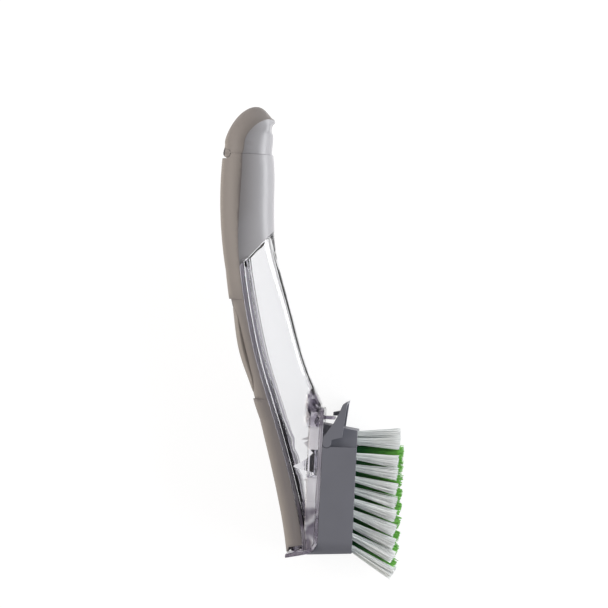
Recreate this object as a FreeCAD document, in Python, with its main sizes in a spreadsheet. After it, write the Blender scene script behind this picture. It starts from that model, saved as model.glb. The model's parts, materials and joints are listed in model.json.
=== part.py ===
import FreeCAD, Part
import math
import os
import Sketcher
from FreeCAD import Placement, Rotation, Vector

os.makedirs("parts", exist_ok=True)
doc = FreeCAD.newDocument("dish_wand")

# Driving dimensions in millimetres, angles in degrees
SIZES = {
    # Scrub head
    "head_length": 67.0,
    "head_width": 46.0,
    "head_thickness": 18.5,
    "head_front": 9.5,
    "head_wall": 2.5,
    "head_corner": 8.0,
    "hook_reach": 15.2,
    "hook_drop": 1.9,
    "ledge_height": 23.4,
    "crown_back": 35.4,
    "crown_front": 32.8,
    "crown_inset": 3.0,
    # Handle skin
    "seam_height": 179.0,
    "handle_reach": 72.0,
    "handle_half": 15.4,
    "skin": 2.5,
    "wall": 2.0,
    "flange": 2.5,
    "flange_lip": 1.0,
    "sleeve_edge": 128.0,
    "sleeve_slant": 49.0,
    "lip_rise": 1.0,
    # Base plate
    "plate": 2.0,
    "toe_round": 8.0,
    "toe_slope": 14.0,
    "toe_margin": 5.0,
    "heel_height": 44.0,
    "heel_corner": 9.0,
    "boss_radius": 8.6,
    "boss_rise": 4.4,
    "tower_rise": 5.0,
    "foot_band": 5.4,
    "rail_half": 16.2,
    "rail_web": 2.0,
    "rail_foot": 3.2,
    "rail_rise": 4.3,
    "rail_length": 34.0,
    "tongue_half": 7.0,
    "tongue_height": 39.6,
    "tongue_thick": 1.8,
    "tongue_reach": 5.85,
    # Soap valve
    "valve_radius": 6.8,
    "valve_flange": 1.4,
    "valve_dome": 4.4,
    "valve_skin": 0.8,
    "slit_width": 0.3,
    "slit_length": 5.6,
    "seat_depth": 3.2,
    "outlet_radius": 4.9,
    "soap_hole": 2.2,
    "collar_wall": 1.4,
    # Fill end
    "neck_depth": 6.3,
    "seam_gap": 0.15,
    "hinge_radius": 2.2,
    "pin_radius": 0.8,
    "ear_inner": 3.2,
    "ear_thick": 2.2,
    "knuckle_half": 12.0,
    "plug_flange": 1.2,
    "plug_depth": 4.6,
    "plug_draft": 0.7,
    "plug_wall": 1.6,
    "hood_rise": 11.0,
    "hood_fan": 80.0,
    # Soap button
    "button_length": 48.0,
    "button_half": 8.6,
    "button_height": 73.4,
    "button_tilt": 16.7,
    "button_crown": 2.2,
    "button_gap": 0.35,
    "web_thick": 0.8,
    "web_margin": 3.0,
    # Latch lever
    "lever_thick": 2.6,
    "lever_plate": 1.6,
    "pivot_back": 6.9,
    "pivot_height": 25.2,
    "pivot_boss": 2.3,
    "trunnion_radius": 1.1,
    "trunnion_length": 2.0,
    "nose_reach": 4.6,
    "nose_height": 40.0,
    "nose_thick": 1.8,
    "nose_half": 6.0,
    # Bristle field
    "tuft_pitch": 6.2,
    "tuft_toe": 2.8,
    "tuft_edge": 6.0,
    "tuft_root": 1.6,
    "tuft_tip": 2.9,
    "bristle_length": 27.0,
    "hole_radius": 1.95,
    "hole_depth": 6.5,
    "heel_tilt": -1.0,
    "toe_tilt": 29.5,
    "anchor_length": 2.4,
    "anchor_thick": 0.4,
    "anchor_rise": 1.2,
    # Clearances and the overrun of every cutter
    "weld_gap": 0.1,
    "fit_gap": 0.3,
    "run_gap": 0.4,
    "overrun": 2.0,
}

sheet = doc.addObject("Spreadsheet::Sheet", "dims")
for row, (alias, amount) in enumerate(SIZES.items(), 1):
    sheet.set("A%d" % row, alias)
    sheet.set("B%d" % row, str(amount))
    sheet.setAlias("B%d" % row, alias)
doc.recompute()


class Size:
    """A length or angle that carries its sheet expression and its number together."""

    def __init__(self, text, value):
        self.text = text
        self.value = value

    def __add__(self, other):
        other = size(other)
        return Size("(%s + %s)" % (self.text, other.text), self.value + other.value)

    def __sub__(self, other):
        other = size(other)
        return Size("(%s - %s)" % (self.text, other.text), self.value - other.value)

    def __mul__(self, other):
        other = size(other)
        return Size("(%s * %s)" % (self.text, other.text), self.value * other.value)

    def __truediv__(self, other):
        other = size(other)
        return Size("(%s / %s)" % (self.text, other.text), self.value / other.value)

    def __neg__(self):
        return Size("(0 - %s)" % self.text, -self.value)

    __radd__ = __add__
    __rmul__ = __mul__


def size(amount):
    """Turn a plain share into a Size."""
    if isinstance(amount, Size):
        return amount
    return Size("(%.6f)" % amount, float(amount))


def dim(alias):
    """Read one driving dimension."""
    return Size("dims." + alias, SIZES[alias])


def turn(kind, angle):
    """Sine, cosine or tangent of an angle held in degrees."""
    return Size("%s(%s)" % (kind, angle.text), getattr(math, kind)(math.radians(angle.value)))


def bind(item, prop, amount):
    """Tie a property to its sheet expression."""
    item.setExpression(prop, size(amount).text)


NIL = size(0)
half_head = dim("head_width") / 2
half_thick = dim("head_thickness") / 2
half_long = dim("head_length") / 2
far = dim("seam_height") * 2
UP = Rotation(Vector(1, 0, 0), 90)
ASIDE = Rotation(Vector(1, 1, 1), 120)


def place(item, x, y, z, rotation=None):
    """Bind a base point and give a fixed rotation."""
    if rotation is not None:
        item.Placement = Placement(Vector(), rotation)
    bind(item, "Placement.Base.x", x)
    bind(item, "Placement.Base.y", y)
    bind(item, "Placement.Base.z", z)


# Sketch outlines: corners with an optional radius, and edges with an optional bow
def pin_point(sketch, geo, pos, x, y):
    for kind, axis, amount in (("DistanceX", -2, size(x)), ("DistanceY", -1, size(y))):
        if abs(amount.value) < 1e-9:
            sketch.addConstraint(Sketcher.Constraint("PointOnObject", geo, pos, axis))
        elif amount.value > 0:
            at = sketch.addConstraint(Sketcher.Constraint(kind, -1, 1, geo, pos, amount.value))
            sketch.setExpression("Constraints[%d]" % at, amount.text)
        else:
            at = sketch.addConstraint(Sketcher.Constraint(kind, geo, pos, -1, 1, -amount.value))
            sketch.setExpression("Constraints[%d]" % at, (-amount).text)


def corner_cut(before, here, after, radius):
    """Tangent points and centre of a rounded corner."""
    one = (before - here).normalize()
    two = (after - here).normalize()
    angle = one.getAngle(two)
    run = radius / math.tan(angle / 2)
    start = here + one * run
    end = here + two * run
    centre = here + (one + two).normalize() * (radius / math.sin(angle / 2))
    return start, end, centre


def outline(sketch, corners, bows=None):
    """Draw a closed outline; a corner is (x, y) or (x, y, radius); bows maps an edge to its radius."""
    bows = bows or {}
    count = len(corners)
    points = [Vector(size(c[0]).value, size(c[1]).value, 0) for c in corners]
    rounds = [size(c[2]) if len(c) > 2 else None for c in corners]
    ends = []
    for i in range(count):
        if rounds[i] is None:
            ends.append((points[i], points[i], None))
        else:
            ends.append(corner_cut(points[i - 1], points[i], points[(i + 1) % count], rounds[i].value))
    edges = []
    for i in range(count):
        start = ends[i][1]
        end = ends[(i + 1) % count][0]
        if i in bows:
            radius = bows[i].value
            chord = end - start
            middle = (start + end) * 0.5
            normal = Vector(chord.y, -chord.x, 0).normalize()
            centre = middle - normal * math.sqrt(radius ** 2 - (chord.Length / 2) ** 2)
            circle = Part.Circle(centre, Vector(0, 0, 1), radius)
            arc = Part.ArcOfCircle(circle, circle.parameter(start), circle.parameter(end))
            edges.append(sketch.addGeometry(arc, False))
            at = sketch.addConstraint(Sketcher.Constraint("Radius", edges[i], radius))
            sketch.setExpression("Constraints[%d]" % at, bows[i].text)
        else:
            edges.append(sketch.addGeometry(Part.LineSegment(start, end), False))
    for i in range(count):
        last = edges[i - 1]
        if rounds[i] is None:
            sketch.addConstraint(Sketcher.Constraint("Coincident", last, 2, edges[i], 1))
            pin_point(sketch, edges[i], 1, corners[i][0], corners[i][1])
            continue
        start, end, centre = ends[i]
        circle = Part.Circle(centre, Vector(0, 0, 1), rounds[i].value)
        left = (start - centre).cross(end - centre).z > 0
        first, second = (start, end) if left else (end, start)
        arc = Part.ArcOfCircle(circle, circle.parameter(first), circle.parameter(second))
        bend = sketch.addGeometry(arc, False)
        into, out = (1, 2) if left else (2, 1)
        mark = sketch.addGeometry(Part.Point(points[i]), True)
        sketch.addConstraint(Sketcher.Constraint("Tangent", last, 2, bend, into))
        sketch.addConstraint(Sketcher.Constraint("Tangent", bend, out, edges[i], 1))
        sketch.addConstraint(Sketcher.Constraint("PointOnObject", mark, 1, last))
        sketch.addConstraint(Sketcher.Constraint("PointOnObject", mark, 1, edges[i]))
        pin_point(sketch, mark, 1, corners[i][0], corners[i][1])
        at = sketch.addConstraint(Sketcher.Constraint("Radius", bend, rounds[i].value))
        sketch.setExpression("Constraints[%d]" % at, rounds[i].text)
    return sketch


def drawn(name, corners, bows=None):
    return outline(doc.addObject("Sketcher::SketchObject", name), corners, bows)


# Booleans and primitives
def cut(name, base, tool):
    item = doc.addObject("Part::Cut", name)
    item.Base = base
    item.Tool = tool
    return item


def fuse(name, *items):
    item = doc.addObject("Part::MultiFuse", name)
    item.Shapes = list(items)
    return item


def common(name, *items):
    item = doc.addObject("Part::MultiCommon", name)
    item.Shapes = list(items)
    return item


def extruded(name, sketch, length, both=True):
    item = doc.addObject("Part::Extrusion", name)
    item.Base = sketch
    item.DirMode = "Normal"
    item.Solid = True
    item.Symmetric = both
    bind(item, "LengthFwd", length)
    return item


def plan(name, corners, depth, bows=None, z=None):
    """A side-view outline made solid, centred on the middle of the width unless z is given."""
    sketch = drawn(name + "_outline", corners, bows)
    place(sketch, NIL, NIL, half_head if z is None else z)
    return extruded(name, sketch, depth, z is None)


def box(name, x, y, z, long, high, wide):
    item = doc.addObject("Part::Box", name)
    bind(item, "Length", long)
    bind(item, "Width", high)
    bind(item, "Height", wide)
    place(item, x, y, z)
    return item


def rod(name, radius, length, x, y, z, rotation):
    item = doc.addObject("Part::Cylinder", name)
    bind(item, "Radius", radius)
    bind(item, "Height", length)
    place(item, x, y, z, rotation)
    return item


ALONG_X = Rotation(Vector(0, 1, 0), 90)
ALONG_Y = Rotation(Vector(1, 0, 0), -90)
ALONG_Z = Rotation()

# Handle form: stations up the handle, as shares of the seam height, reach and half width.
# Each holds its height, then how far behind the datum the back, crease and front lie,
# then the half widths at the crease and at the front, and the radius of the front corners.
reach = dim("handle_reach")
datum = reach * 0.25
STATION_SHARES = (
    (-0.223, 0.611, 0.488, 0.076, 0.97, 1.66, 0.20),
    (-0.112, 0.656, 0.520, 0.125, 1.02, 1.62, 0.20),
    (0.028, 0.742, 0.612, 0.215, 1.05, 1.56, 0.20),
    (0.156, 0.833, 0.714, 0.314, 1.05, 1.40, 0.26),
    (0.257, 0.907, 0.802, 0.408, 1.04, 1.14, 0.32),
    (0.346, 0.972, 0.882, 0.514, 1.01, 0.92, 0.34),
    (0.475, 1.068, 0.974, 0.629, 1.00, 0.80, 0.36),
    (0.615, 1.161, 1.048, 0.739, 1.00, 0.77, 0.50),
    (0.810, 1.238, 1.090, 0.839, 1.00, 0.77, 0.70),
    (1.012, 1.240, 1.088, 0.872, 0.96, 0.73, 0.68),
)
# How far the gray sleeve wraps the front at each station
SLEEVE_SHARES = (0, 0, 0, 0, 0, 0, 0, 0.2, 1.0, 1.0)


def back_radius(back, crease, half):
    deep = back - crease
    return (half * half + deep * deep) / (deep * 2)


def section(name, height, back, crease, front, half, nose, corner):
    """One D-shaped section of the handle, its bowed side to the back."""
    corners = [(-crease, half), (-front, nose, corner), (-front, -nose, corner), (-crease, -half)]
    sketch = doc.addObject("Sketcher::SketchObject", name)
    outline(sketch, corners[::-1], {3: back_radius(back, crease, half)})
    place(sketch, datum, height, half_head, UP)
    return sketch


def between(share):
    """Station shares at any height, from the four nearest stations."""
    heights = [s[0] for s in STATION_SHARES]
    last = len(heights) - 2
    i = max(k for k in range(last + 1) if heights[k] <= share or k == 0)
    p = [STATION_SHARES[max(0, min(last + 1, k))] for k in (i - 1, i, i + 1, i + 2)]
    t = (share - p[1][0]) / (p[2][0] - p[1][0])
    found = []
    for c in range(1, 7):
        low = (p[2][c] - p[0][c]) / (p[2][0] - p[0][0]) * (p[2][0] - p[1][0])
        high = (p[3][c] - p[1][c]) / (p[3][0] - p[1][0]) * (p[2][0] - p[1][0])
        found.append(
            (2 * t ** 3 - 3 * t ** 2 + 1) * p[1][c] + (t ** 3 - 2 * t ** 2 + t) * low
            + (3 * t ** 2 - 2 * t ** 3) * p[2][c] + (t ** 3 - t ** 2) * high
        )
    return (share,) + tuple(found)


def sizes_at(shares):
    half = dim("handle_half")
    return [
        dim("seam_height") * shares[0], reach * shares[1], reach * shares[2], reach * shares[3],
        half * shares[4], half * shares[5], half * shares[6],
    ]


def loft(name, sketches):
    item = doc.addObject("Part::Loft", name)
    item.Sections = sketches
    item.Solid = True
    item.Ruled = False
    item.MaxDegree = 3
    return item


skin = dim("skin")
wall = dim("wall")
weld = dim("weld_gap")
outer_cuts = []
grip_inner_cuts = []
core_cuts = []
cavity_cuts = []
for i, shares in enumerate(STATION_SHARES):
    y, back, crease, front, half, nose, corner = sizes_at(shares)
    side = skin * 0.5
    outer_cuts.append(section("outer_%d" % i, y, back, crease, front, half, nose, corner))
    core_cuts.append(section(
        "core_%d" % i, y, back - skin, crease, front + skin, half - side, nose - skin, corner * 0.7))
    grip_inner_cuts.append(section(
        "grip_inner_%d" % i, y, back - skin + weld, crease, front + skin - weld,
        half - side + weld, nose - skin + weld, corner * 0.7))
    if i > 0:
        inset = wall + skin * SLEEVE_SHARES[i]
        cavity_cuts.append(section(
            "cavity_%d" % i, y, back - skin - wall, crease, front + inset,
            half - side - wall, nose - inset, corner * 0.6))
outer_form = loft("outer_form", outer_cuts)
core_form = loft("core_form", core_cuts)
grip_inner = loft("grip_inner", grip_inner_cuts)
cavity_form = loft("cavity_form", cavity_cuts)


def slab(name, rear, fore, widen=None):
    """A solid band that follows the handle, given as distances behind the datum at each station."""
    cuts = []
    for i, shares in enumerate(STATION_SHARES):
        y, back, crease, front, half, nose, corner = sizes_at(shares)
        a = rear(crease)
        b = fore(crease)
        h = reach if widen is None else half + widen
        sketch = drawn("%s_%d" % (name, i), [(-a, -h), (-b, -h), (-b, h), (-a, h)])
        place(sketch, datum, y, half_head, UP)
        cuts.append(sketch)
    return loft(name, cuts)


flange = dim("flange")
clear_side = slab("clear_side", lambda c: c + weld, lambda c: NIL)
front_side = slab("front_side", lambda c: c - flange - weld, lambda c: NIL)
back_side = slab("back_side", lambda c: c + reach, lambda c: c - flange)
rim_band = slab("rim_band", lambda c: c, lambda c: c - flange * 2, dim("flange_lip"))

# The sleeve ends on a slant across the handle; everything below it on the front is clear
slant_x = turn("cos", dim("sleeve_slant")) * reach
slant_y = turn("sin", dim("sleeve_slant")) * reach
edge_x = -reach * 0.7
edge_y = dim("sleeve_edge")
step_y = edge_y - weld
below_sleeve = plan("below_sleeve", [
    (edge_x - slant_x, edge_y - slant_y), (edge_x - slant_x, -far),
    (edge_x + slant_x * 2, -far), (edge_x + slant_x * 2, edge_y + slant_y * 2)], far)
above_sleeve = plan("above_sleeve", [
    (edge_x - slant_x, step_y - slant_y), (edge_x + slant_x * 2, step_y + slant_y * 2),
    (edge_x - slant_x, far)], far)

# Foot: the mounting face runs down the head and curls round the toe
tan_toe = turn("tan", dim("toe_slope"))
cos_toe = turn("cos", dim("toe_slope"))
toe_back = reach * 0.37
toe_half = dim("handle_half") * 1.08


def foot(name, depth):
    """All that lies inside the mounting face at one depth."""
    x = -half_thick - depth
    lift = depth / cos_toe
    low = -half_long - depth * tan_toe + lift
    left = -reach * 2
    low_left = -half_long + (left + half_thick) * tan_toe + lift
    top = dim("seam_height") * 1.5
    return plan(name, [(x, low, dim("toe_round") - depth), (x, top), (left, top), (left, low_left)], far)


plate = dim("plate")
foot_face = foot("foot_face", NIL)
foot_joint = foot("foot_joint", plate)
foot_weld = foot("foot_weld", plate + weld)
foot_inner = foot("foot_inner", plate + dim("foot_band"))
foot_grip = foot("foot_grip", dim("toe_margin"))

taper = drawn("foot_taper_outline", [
    (half_thick, -half_head), (half_thick, half_head),
    (-half_thick - dim("toe_round"), half_head), (-toe_back, toe_half),
    (-toe_back, -toe_half), (-half_thick - dim("toe_round"), -half_head)])
place(taper, NIL, NIL, half_head, UP)
foot_taper = extruded("foot_taper", taper, far)
heel = drawn("foot_heel_outline", [
    (-half_long * 2, -half_head), (dim("heel_height"), -half_head, dim("heel_corner")),
    (dim("heel_height"), half_head, dim("heel_corner")), (-half_long * 2, half_head)])
place(heel, NIL, NIL, half_head, ASIDE)
foot_heel = extruded("foot_heel", heel, far)

# Soap button prisms stand square to the sloping back
tilt = dim("button_tilt")
button_x = datum - sizes_at(between(SIZES["button_height"] / SIZES["seam_height"]))[1]


def place_turned(item, x, y, z, yaw, pitch, roll):
    item.setExpression("Placement", "placement(vector(%s; %s; %s); rotation(%s; %s; %s))" % tuple(
        size(v).text for v in (x, y, z, yaw, pitch, roll)))


def button_prism(name, grow):
    long = dim("button_length") / 2 + grow
    half = dim("button_half") + grow
    sketch = drawn(name + "_outline", [
        (-long, -half, half * 0.96), (long, -half, half * 0.96),
        (long, half, half * 0.96), (-long, half, half * 0.96)])
    place_turned(sketch, button_x, dim("button_height"), half_head, tilt + 90, 0, 90)
    return extruded(name, sketch, dim("button_half") * 3)


BUTTON_SHARES = (
    (0.257, -0.30), (0.296, 0.10), (0.346, 0.62), (0.397, 0.95),
    (0.447, 0.75), (0.503, 0.22), (0.559, -0.30))


def button_loft(name, rise, crown):
    cuts = []
    for i, (height, share) in enumerate(BUTTON_SHARES):
        y, back, crease, front, half, nose, corner = sizes_at(between(height))
        top = back + rise + crown * share
        cuts.append(section("%s_%d" % (name, i), y, top, crease, front, half, nose, corner))
    return loft(name, cuts)


button_skin = button_loft("button_skin", NIL, dim("button_crown"))
button_floor = button_loft("button_floor", dim("web_thick") + dim("fit_gap") - skin, NIL)
web_top = button_loft("web_top", dim("web_thick") - skin, NIL)
pad_prism = button_prism("pad_prism", NIL)
window_prism = button_prism("window_prism", dim("button_gap"))
web_prism = button_prism("web_prism", dim("web_margin"))

# Fill end: the bore and the cap take their sizes from the section at the seam
seam = dim("seam_height")
seam_sizes = sizes_at(between(1.0))
seam_front = datum - seam_sizes[3]
seam_depth = seam_sizes[1] - seam_sizes[3]
fill_radius = seam_depth * 0.32
fill_x = seam_front - seam_depth * 0.44
fan_x = seam_front + seam_depth * 0.057
cap_reach = seam_depth * 1.054

# Hinge line of the fill cap, just inside the back of the seam
hinge_radius = dim("hinge_radius")
hinge_x = datum - seam_sizes[1] + hinge_radius
over = dim("overrun")
neck_floor = seam - dim("neck_depth")
below_neck = box("below_neck", -far, -far, -far, far * 2, far + neck_floor - weld, far * 2)
below_seam = box("below_seam", -far, -far, -far, far * 2, far + seam, far * 2)
scallop = rod(
    "hinge_scallop", hinge_radius + dim("fit_gap"), far, hinge_x, seam, half_head - far / 2, ALONG_Z)
step_depth = hinge_radius * 1.12 + dim("fit_gap")
hinge_step = box(
    "hinge_step", hinge_x - reach, seam - step_depth, -far, reach, step_depth + over, far * 2)
hinge_room = fuse("hinge_room", scallop, hinge_step)
ear_radius = hinge_radius - dim("fit_gap")
ear_thick = dim("ear_thick")
ear_lows = (half_head + dim("ear_inner"), half_head - dim("ear_inner") - ear_thick)
ear_rooms = [
    box("ear_room_%d" % n, hinge_x - weld, seam - hinge_radius * 2 - weld, low - weld,
        ear_radius + weld * 2, hinge_radius * 2 + weld * 2, ear_thick + weld * 2)
    for n, low in enumerate(ear_lows)]

# Clear front half of the soap chamber, with its weld flange and foot flange
sleeve_tool = cut("sleeve_tool", above_sleeve, core_form)
front_raw = cut("front_raw", outer_form, sleeve_tool)
front_rim = common("front_rim", rim_band, below_sleeve)
foot_ring = cut("foot_ring", foot_weld, foot_inner)
foot_flange = common("foot_flange", foot_ring, foot_taper, foot_heel)
front_solid = fuse("front_solid", front_raw, front_rim, foot_flange)
front_hollow = cut("front_hollow", front_solid, cavity_form)
reservoir_front = common("reservoir_front", front_hollow, front_side, foot_weld, below_neck)

# Clear back half under the soft grip, with the window for the button
back_rim = common("back_rim", rim_band, below_sleeve)
back_solid = fuse("back_solid", core_form, back_rim)
back_hollow = cut("back_hollow", back_solid, cavity_form)
back_open = cut("back_open", back_hollow, window_prism)
reservoir_back = common("reservoir_back", back_open, back_side, foot_weld, below_neck)

# Soft gray grip: the whole back and the sleeve round the upper handle
LIP_SHARES = ((0.561, 1.0), (0.592, 0.62), (0.66, -0.06)), ((0.198, -0.06), (0.234, 0.7), (0.262, 1.0))
lips = []
for n, row in enumerate(LIP_SHARES):
    cuts = []
    for i, (height, share) in enumerate(row):
        y, back, crease, front, half, nose, corner = sizes_at(between(height))
        top = back + dim("lip_rise") * share
        cuts.append(section("lip_%d_%d" % (n, i), y, top, crease, front, half, nose, corner))
    lips.append(loft("lip_%d" % n, cuts))
grip_form = fuse("grip_form", outer_form, lips[0], lips[1])
grip_skin = cut("grip_skin", grip_form, grip_inner)
clear_zone = common("clear_zone", clear_side, below_sleeve)
grip_back = cut("grip_back", grip_skin, clear_zone)
grip_ends = common("grip_ends", grip_back, foot_grip, below_seam)
web_room = common("web_room", web_prism, web_top)
grip_cuts = fuse("grip_cuts", window_prism, web_room, hinge_room, *ear_rooms)
back_grip = cut("back_grip", grip_ends, grip_cuts)

# Thin web that seals the window under the button, and the button pad
web_layer = cut("web_layer", web_top, grip_inner)
button_web = common("button_web", web_layer, web_prism)
pad_layer = cut("pad_layer", button_skin, button_floor)
soap_button = common("soap_button", pad_layer, pad_prism)


# Base plate: closes the chamber, carries the valve on a tower, the slide rails and the latch tongue
SOAP_SHARE = 7.2
valve_y = dim("tuft_toe") + dim("tuft_pitch") * SOAP_SHARE - half_long
mount = -half_thick
tower_top = mount - plate - dim("tower_rise")
spigot_end = mount + dim("boss_rise")
plate_raw = cut("plate_raw", foot_face, foot_joint)
plate_cut = common("plate_cut", plate_raw, foot_taper, foot_heel)
boss = rod(
    "valve_tower", dim("boss_radius"), spigot_end - tower_top, tower_top, valve_y, half_head, ALONG_X)
tongue = box(
    "latch_tongue", mount - plate / 2, dim("tongue_height") - dim("tongue_thick"),
    half_head - dim("tongue_half"), dim("tongue_reach") + plate / 2, dim("tongue_thick"),
    dim("tongue_half") * 2)
rails = []
rail_low = -half_long * 0.72
for n, sign in enumerate((1, -1)):
    web_z = dim("rail_half") - dim("rail_web")
    low = half_head + web_z if sign > 0 else half_head - dim("rail_half")
    rails.append(box(
        "rail_web_%d" % n, mount - plate / 2, rail_low, low,
        dim("rail_rise") + plate / 2, dim("rail_length"), dim("rail_web")))
    low = half_head + web_z if sign > 0 else half_head - web_z - dim("rail_web") - dim("rail_foot")
    rails.append(box(
        "rail_foot_%d" % n, mount + dim("rail_rise") - plate, rail_low, low,
        plate, dim("rail_length"), dim("rail_web") + dim("rail_foot")))
plate_solid = fuse("plate_solid", plate_cut, boss, tongue, *rails)
seat_end = tower_top + dim("seat_depth")
seat = rod(
    "valve_seat", dim("valve_radius") + weld, dim("seat_depth") + over, tower_top - over, valve_y,
    half_head, ALONG_X)
outlet = rod(
    "valve_outlet", dim("outlet_radius"), spigot_end - tower_top + over * 2, tower_top - over, valve_y,
    half_head, ALONG_X)
plate_holes = fuse("plate_holes", seat, outlet)
base_plate = cut("base_plate", plate_solid, plate_holes)


# Turned and pressed pieces made as bodies
def body(name):
    return doc.addObject("PartDesign::Body", name)


def body_sketch(owner, role, name, corners, lift=None):
    sketch = owner.newObject("Sketcher::SketchObject", name)
    planes = [f for f in owner.Origin.OriginFeatures if f.Role == role]
    sketch.AttachmentSupport = [(planes[0], "")]
    sketch.MapMode = "FlatFace"
    if lift is not None:
        bind(sketch, "AttachmentOffset.Base.z", lift)
    outline(sketch, corners)
    return sketch


def revolved(owner, sketch, name):
    item = owner.newObject("PartDesign::Revolution", name)
    item.Profile = sketch
    item.ReferenceAxis = (sketch, ["V_Axis"])
    item.Angle = 360
    return item


def padded(owner, sketch, name, length, both=False):
    item = owner.newObject("PartDesign::Pad", name)
    item.Profile = sketch
    item.Midplane = both
    bind(item, "Length", length)
    return item


# Slit valve: a soft domed cup with a cross slit, its flange on the seat
Y_TO_X = Rotation(Vector(0, 0, 1), -90)
slit_valve = body("slit_valve")
dome = dim("outlet_radius") - dim("fit_gap")
dome_skin = dim("valve_skin")
revolved(slit_valve, body_sketch(slit_valve, "XY_Plane", "valve_profile", [
    (dome - dome_skin, NIL), (dim("valve_radius"), NIL), (dim("valve_radius"), dim("valve_flange")),
    (dome, dim("valve_flange")), (dome, dim("valve_dome"), dome * 0.4), (NIL, dim("valve_dome")),
    (NIL, dim("valve_dome") - dome_skin), (dome - dome_skin, dim("valve_dome") - dome_skin, dome * 0.25)]),
    "valve_turn")
slit = dim("slit_width") / 2
reach_slit = dim("slit_length") / 2
slit_sketch = body_sketch(slit_valve, "XZ_Plane", "valve_slit_outline", [
    (reach_slit, slit), (slit, slit), (slit, reach_slit), (-slit, reach_slit), (-slit, slit),
    (-reach_slit, slit), (-reach_slit, -slit), (-slit, -slit), (-slit, -reach_slit), (slit, -reach_slit),
    (slit, -slit), (reach_slit, -slit)][::-1])
doc.recompute()
slit_cut = slit_valve.newObject("PartDesign::Pocket", "valve_slit")
slit_cut.Profile = slit_sketch
slit_cut.Midplane = True
bind(slit_cut, "Length", dim("valve_dome") * 3)
place(slit_valve, seat_end - dim("valve_flange"), valve_y, half_head, Y_TO_X)

valve_retainer = body("valve_retainer")
ring_top = dim("seat_depth") - dim("valve_flange")
revolved(valve_retainer, body_sketch(valve_retainer, "XY_Plane", "retainer_profile", [
    (dome - dome_skin, NIL), (dim("valve_radius"), NIL), (dim("valve_radius"), ring_top),
    (dome - dome_skin, ring_top)]), "retainer_turn")
place(valve_retainer, tower_top, valve_y, half_head, Y_TO_X)

# Fill neck: stops the top of the chamber, round fill bore, two hinge ears
neck_top = box("neck_slab", -far, neck_floor, -far, far * 2, dim("neck_depth"), far * 2)
neck_solid = common("neck_solid", core_form, neck_top)
neck_bore = rod(
    "neck_bore", fill_radius, dim("neck_depth") + over * 2, fill_x, neck_floor - over, half_head, ALONG_Y)
neck_tools = fuse("neck_tools", neck_bore, hinge_room)
neck_plain = cut("neck_plain", neck_solid, neck_tools)
ears = []
for n, low in enumerate(ear_lows):
    ears.append(rod("ear_%d" % n, ear_radius, ear_thick, hinge_x, seam, low, ALONG_Z))
    ears.append(box(
        "ear_root_%d" % n, hinge_x, seam - hinge_radius * 2, low, ear_radius, hinge_radius * 2, ear_thick))
neck_eared = fuse("neck_eared", neck_plain, *ears)
pin_hole = rod("pin_hole", dim("pin_radius") + weld / 2, far, hinge_x, seam, half_head - far / 2, ALONG_Z)
fill_neck = cut("fill_neck", neck_eared, pin_hole)
pin_half = dim("ear_inner") + ear_thick
cap_hinge_pin = rod(
    "cap_hinge_pin", dim("pin_radius"), pin_half * 2, hinge_x, seam, half_head - pin_half, ALONG_Z)

# Fill cap: a hood whose sections fan round a point behind the lip.
# Each holds its share of the fan, how far below the fan's point it starts as a share of the hood's rise,
# then the back, crease, front, half widths and corner as shares of the cap reach and half width.
HOOD_SHARES = (
    (0.0, 1.0, 1.016, 0.612, 0.064, 0.96, 0.73, 0.68),
    (0.0, 0.5, 0.986, 0.580, 0.064, 0.955, 0.73, 0.66),
    (0.0, 0.0, 0.945, 0.525, 0.064, 0.94, 0.72, 0.58),
    (0.375, 0.0, 0.800, 0.400, 0.110, 0.90, 0.74, 0.34),
    (0.688, 0.0, 0.655, 0.345, 0.180, 0.80, 0.70, 0.16),
    (0.85, 0.0, 0.425, 0.320, 0.225, 0.68, 0.62, 0.06),
    (1.0, 0.0, 0.314, 0.285, 0.250, 0.56, 0.54, 0.03),
)
fan_y = seam + dim("hood_rise")
half_size = dim("handle_half")
hood_cuts = []
for i, (fan, drop, back, crease, front, half, nose, corner) in enumerate(HOOD_SHARES):
    sketch = doc.addObject("Sketcher::SketchObject", "hood_%d" % i)
    rear = cap_reach * crease
    fore = cap_reach * front
    rows = [(-rear, half_size * half), (-fore, half_size * nose, half_size * corner),
            (-fore, -half_size * nose, half_size * corner), (-rear, -half_size * half)]
    outline(sketch, rows[::-1], {3: back_radius(cap_reach * back, rear, half_size * half)})
    low = fan_y - (dim("hood_rise") - dim("seam_gap")) * drop
    place_turned(sketch, fan_x, low, half_head, -(dim("hood_fan") * fan), 0, 90)
    hood_cuts.append(sketch)
hood = loft("hood", hood_cuts)
knuckle_rod = rod(
    "knuckle_rod", hinge_radius, dim("knuckle_half") * 2, hinge_x, seam, half_head - dim("knuckle_half"),
    ALONG_Z)
knuckle = common("knuckle", knuckle_rod, outer_form)
cap_solid = fuse("cap_solid", hood, knuckle)
gap = dim("run_gap")
slots = [
    box("ear_slot_%d" % n, hinge_x - reach, seam - hinge_radius - over, low - gap,
        reach + hinge_radius + gap, hinge_radius * 2 + over + gap, ear_thick + gap * 2)
    for n, low in enumerate(ear_lows)]
bore_half = pin_half + gap
knuckle_bore = rod(
    "knuckle_bore", dim("pin_radius") + dim("fit_gap"), bore_half * 2, hinge_x, seam, half_head - bore_half,
    ALONG_Z)
cap_floor = seam + dim("seam_gap")
plug_rim = fill_radius + dim("plug_flange")
plug_recess = rod(
    "plug_recess", plug_rim + weld, dim("plug_flange") + over, fill_x, cap_floor - over, half_head, ALONG_Y)
cap_tools = fuse("cap_tools", plug_recess, knuckle_bore, *slots)
fill_cap = cut("fill_cap", cap_solid, cap_tools)

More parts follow.
